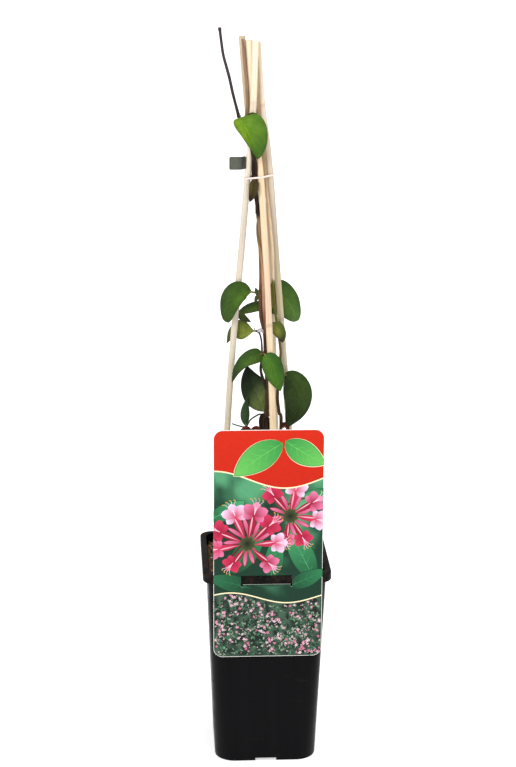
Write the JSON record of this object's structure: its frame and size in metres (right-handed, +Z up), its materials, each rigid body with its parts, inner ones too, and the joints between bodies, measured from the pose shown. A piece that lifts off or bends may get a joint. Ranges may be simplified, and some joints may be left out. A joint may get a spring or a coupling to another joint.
{
  "type": "honeysuckle vine",
  "caption": "Young honeysuckle vine in a square nursery pot, twining up thin canes that are tied together near the top, with a picture label hooked over the rim",
  "frame": {"origin": "on the surface that the pot stands on, under the centre of the pot's base", "axes": "+Z up along the canes, front with the picture label towards -Y, +X to the right seen from the front"},
  "size_m": [0.113, 0.114, 0.6502],
  "materials": {
    "pot": "satin",
    "soil": "matte",
    "cane": "satin",
    "vine": "satin",
    "tie": "satin",
    "tape": "satin",
    "label": "satin"
  },
  "bodies": {
    "root": {"pot": "pot", "soil": "soil", "cane_left": "cane", "cane_front": "cane", "cane_right": "cane", "cane_rear": "cane", "vine_main": "vine", "vine_second": "vine", "vine_low": "vine", "tie_band": "tie", "tape_tie": "tape", "label": "label"}
  },
  "joints": []
}
